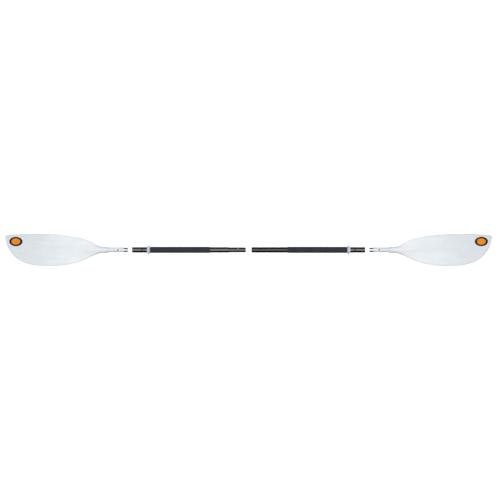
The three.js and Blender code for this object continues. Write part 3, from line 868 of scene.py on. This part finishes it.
def gripPiece(side):
    node = f"grip_{side}"
    start, end, radius = reach(node)
    small, edge = radius - grip["tuck"], grip["edge"]

    def swell(x):
        inside = min(x - start, end - x)
        return small + grip["tuck"] * float(smooth(inside, 0, grip["taper"]))

    places = stations(start + edge, end - edge, radius, grip["step"])
    profile = [
        (start, grip["bore"]),
        *corner(start + edge, small - edge, edge, 180, 4)[:-1],
        *[(x, swell(x)) for x, _ in places],
        *corner(end - edge, small - edge, edge, 90, 4)[1:],
        (end, grip["bore"]),
    ]
    piece = turned(node, profile)
    settle(piece, side, f"shaft_{side}", node, finishes["grip"])


# Drip rings: a thin bowl that opens towards the blade, on a plain sleeve. The bowl's two faces are
# given by points as (from the grip, in from the rim).
ring = {
    "mouth": 10.8, "sleeve": 16.4, "bore": 14.85, "collar": 17.7, "collarEdge": 0.8, "lip": 0.7,
    "sleeveEdge": 0.6, "boreEdge": (0.4, 0.3), "steps": 18,
    "outside": [(1, 7.2), (3, 4.6), (5.6, 2.2), (8.2, 0.7), (9.8, 0.05)],
    "inside": [(9.8, 1.4), (7.8, 2.2), (5.2, 4.2), (4.2, 7), (3.6, 9.6)],
}


def ringPiece(side):
    node = f"drip_ring_{side}"
    start, end, rim = reach(node)
    collarEdge, lip, sleeveEdge = ring["collarEdge"], ring["lip"], ring["sleeveEdge"]
    easeAlong, easeAcross = ring["boreEdge"]

    def bowl(face):
        points = [(start + x, rim - depth) for x, depth in ring[face]]
        return [tuple(p) for p in smoothLine(points, ring["steps"])]

    profile = [
        (start, ring["bore"] + easeAcross),
        *corner(start + collarEdge, ring["collar"] - collarEdge, collarEdge, 180, 4),
        *bowl("outside"),
        *corner(start + ring["mouth"] - lip, rim - lip, lip, 100, 7),
        *bowl("inside"),
        *corner(end - sleeveEdge, ring["sleeve"] - sleeveEdge, sleeveEdge, 90, 4),
        (end, ring["bore"] + easeAcross),
        (end - easeAlong, ring["bore"]),
        (start + easeAlong, ring["bore"]),
    ]
    piece = turned(node, profile, segments=128)
    settle(piece, side, node, node, finishes["ring"], sharpAngle=50)


for side in sides:
    gripPiece(side)
    ringPiece(side)
print("stage: grips and drip rings made")


# where a button's collar meets the wall of its tube, from the tube's axis
def collarHeight(bore):
    return math.sqrt(bore ** 2 - button["collarRadius"] ** 2) - button["clearance"]


# Snap buttons: a domed pin on a collar, turned about its own axis and then tilted.
def buttonPiece(node, side, body, at, finish, angle=0.0):
    collarTop = collarHeight(wall["ferruleBore"] if angle else wall["coreBore"])
    radius, top, edge, fillet = (button[key] for key in ("radius", "top", "edge", "fillet"))
    base, domeFoot = collarTop - button["collarHeight"], top - button["domeHeight"]
    sphere = (radius ** 2 + button["domeHeight"] ** 2) / (2 * button["domeHeight"])
    dome = []
    for i in range(1, button["domeSteps"] + 1):
        inner = radius * (1 - i / button["domeSteps"])
        dome.append((top - sphere + math.sqrt(sphere ** 2 - inner ** 2), inner))
    profile = [
        (base, 0),
        *corner(base + edge, button["collarRadius"] - edge, edge, 180, 4),
        *corner(collarTop - edge, button["collarRadius"] - edge, edge, 90, 4),
        (collarTop, radius + fillet),
        (collarTop + fillet, radius),
        *[(domeFoot - along, radius - inwards) for along, inwards in button["domeEase"]],
        *dome,
    ]
    piece = turned(node, profile, segments=64)
    upright = Matrix.Rotation(-angle, 4, "X") @ Matrix.Rotation(-math.pi / 2, 4, "Y")
    piece.data.transform(Matrix.Translation((at, 0, 0)) @ upright)
    settle(piece, side, body, node, finishes[finish])


# V springs: one leg behind the button's collar, one on the far wall of the tube. The V closes as
# its button is pressed.
spring = {
    "width": 7.0, "thickness": 0.7, "edgeRadius": 0.2, "reach": 42, "seat": 6, "foot": 4,
    "bendLength": 2, "bendHeight": 2.4, "upperKnee": (0.6, 0.62), "lowerKnee": (0.5, 0.66),
    "steps": 90,
}


def springPiece(node, side, body, at, bore, angle=0.0):
    play, thickness = button["clearance"], spring["thickness"]
    upper = collarHeight(bore) - button["collarHeight"] - play - thickness / 2
    lower = math.sqrt(bore ** 2 - (spring["width"] / 2) ** 2) - play - thickness
    seat, far, bend = spring["seat"], spring["reach"], spring["bendHeight"]
    near = far - spring["bendLength"]
    (alongUp, shareUp), (alongDown, shareDown) = spring["upperKnee"], spring["lowerKnee"]
    path = smoothLine([
        (-seat, upper), (seat, upper), (far * alongUp, upper * shareUp), (near, bend), (far, 0),
        (near, -bend), (far * alongDown, -lower * shareDown), (-spring["foot"], -lower),
    ], spring["steps"])
    points = [(x, 0, z) for x, z in path]
    piece = newPiece(node, points, [], [(i, i + 1) for i in range(len(points) - 1)])
    applyTree(piece, bendStrip, {
        "Width": spring["width"], "Thickness": spring["thickness"],
        "Edge Radius": spring["edgeRadius"], "Material": finishes["spring"],
    })
    piece.data.transform(Matrix.Translation((at, 0, 0)) @ Matrix.Rotation(-angle, 4, "X"))
    settle(piece, side, body, node, finishes["spring"])
    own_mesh(piece)


for side in sides:
    body = f"blade_{side}"
    buttonPiece(f"{body}_button", side, f"{body}_button", buttonAt, "darkPin")
    springPiece(f"{body}_spring", side, body, buttonAt, wall["coreBore"])
buttonPiece(
    "ferrule_button", "left", "ferrule_button", indexButtonAt, "brightPin",
    index["step"],
)
springPiece("ferrule_spring", "left", "shaft_left", indexButtonAt, wall["ferruleBore"], index["step"])
print("stage: buttons and springs made")


# Foam plugs, pressed in, so that their ends bulge.
plug = {"bulge": 1.2, "rounding": 1.0, "capSteps": 9}


def plugPiece(node, side, body):
    start, end, radius = reach(node)
    bulge, rounding, capSteps = plug["bulge"], plug["rounding"], plug["capSteps"]

    def cap(x, outward):
        return [
            (x - outward * bulge * (r / radius) ** 2, r)
            for r in np.linspace(0, radius - rounding, capSteps)
        ]

    inner = cap(start, -1)
    outer = cap(end, 1)[::-1]
    low, high = inner[-1][0], outer[0][0]
    profile = [
        *inner,
        *corner(low + rounding, radius - rounding, rounding, 180, 4)[1:],
        *corner(high - rounding, radius - rounding, rounding, 90, 4)[:-1],
        *outer,
    ]
    piece = turned(node, profile, segments=64)
    settle(piece, side, body, node, finishes["plug"], sharpAngle=50)


for side in sides:
    plugPiece(f"shaft_{side}_bulkhead", side, f"shaft_{side}")
    plugPiece(f"blade_{side}_core_plug", side, f"blade_{side}")
plugPiece("shaft_right_inner_plug", "right", "centre_carrier")
plugPiece("ferrule_plug", "left", "shaft_left")
print("stage: plugs made")


# Stage: a plain pale floor, faintly lit from within as on a light table, one large overhead
# softbox, a softer fill on each long side that leaves no reflection, and a weak one off the floor.
stage = {
    "floorSize": 40, "floorHex": "#fafafa", "floorGlow": 0.6, "floorGap": 0.0005,
    "skyHex": "#e8ecf2", "skyStrength": 0.06, "wallStrength": 0.85, "boxColor": (0.92, 0.96, 1.0),
    "boxHeight": 3.0, "boxShift": 0.05, "boxSize": (8.0, 5.6), "boxPower": 209,
    "fillHeight": 1.6, "fillAway": 4.0, "fillSize": (7.0, 1.5), "fillFront": 5, "fillBack": 40,
    "bounceHeight": 0.0002, "bounceSize": (3.4, 1.2), "bouncePower": 1.6,
    "cameraHeight": 9.25, "lens": 120, "sensor": 36, "farClip": 100,
    "cameraX": 0.0075, "cameraY": -0.0007,
}


def makeFloor():
    half = stage["floorSize"] / 2
    z = cadLow.z - stage["floorGap"]
    corners = [(-half, -half, z), (half, -half, z), (half, half, z), (-half, half, z)]
    floor = newPiece("floor", corners, [(0, 1, 2, 3)])
    material = startMaterial("lightTable", {
        "Base Color": linearColor(stage["floorHex"]), "Roughness": 0.9, "Specular IOR Level": 0.0,
        "Emission Color": (1, 1, 1, 1), "Emission Strength": stage["floorGlow"],
    })[0]
    floor.data.materials.append(material)
    floor.visible_glossy = False
    floor.visible_diffuse = False


def makeLight(name, place, size, power, reflects, target=(0, 0, 0)):
    data = bpy.data.lights.new(name, "AREA")
    data.shape = "RECTANGLE"
    data.size, data.size_y = size
    data.energy = power
    data.color = stage["boxColor"]
    light = bpy.data.objects.new(name, data)
    light.location = place
    light.rotation_euler = (Vector(target) - Vector(place)).to_track_quat("-Z", "Y").to_euler()
    light.visible_camera = False
    light.visible_glossy = reflects
    bpy.context.scene.collection.objects.link(light)


def makeCamera():
    data = bpy.data.cameras.new("camera")
    data.lens = stage["lens"]
    data.sensor_width = stage["sensor"]
    data.clip_end = stage["farClip"]
    camera = bpy.data.objects.new("camera", data)
    camera.location = (stage["cameraX"], stage["cameraY"], axisHeight + stage["cameraHeight"])
    bpy.context.scene.collection.objects.link(camera)
    bpy.context.scene.camera = camera


makeFloor()
overhead = (0, stage["boxShift"], stage["boxHeight"])
makeLight("softbox", overhead, stage["boxSize"], stage["boxPower"], True)
for label, way in (("fillFront", -1), ("fillBack", 1)):
    place = (0, way * stage["fillAway"], stage["fillHeight"])
    makeLight(label, place, stage["fillSize"], stage[label], False)
bounce = (0, 0, cadLow.z + stage["bounceHeight"])
makeLight("bounce", bounce, stage["bounceSize"], stage["bouncePower"], False, target=(0, 0, 1))
makeCamera()
world = bpy.data.worlds.new("studio")
bpy.context.scene.world = world
world.use_nodes = True
sky = world.node_tree.nodes["Background"]
sky.inputs["Color"].default_value = linearColor(stage["skyHex"])
# the room is dim, but the wall behind the table is seen as pale
seen = addNode(world.node_tree, "ShaderNodeLightPath").outputs["Is Camera Ray"]
glow = addNode(world.node_tree, "ShaderNodeMapRange", {
    "Value": seen, "To Min": stage["skyStrength"], "To Max": stage["wallStrength"],
})
world.node_tree.links.new(glow.outputs[0], sky.inputs["Strength"])
world.cycles_visibility.glossy = False
bpy.context.scene.view_settings.view_transform = "Standard"
print("stage: floor, lights and camera set")
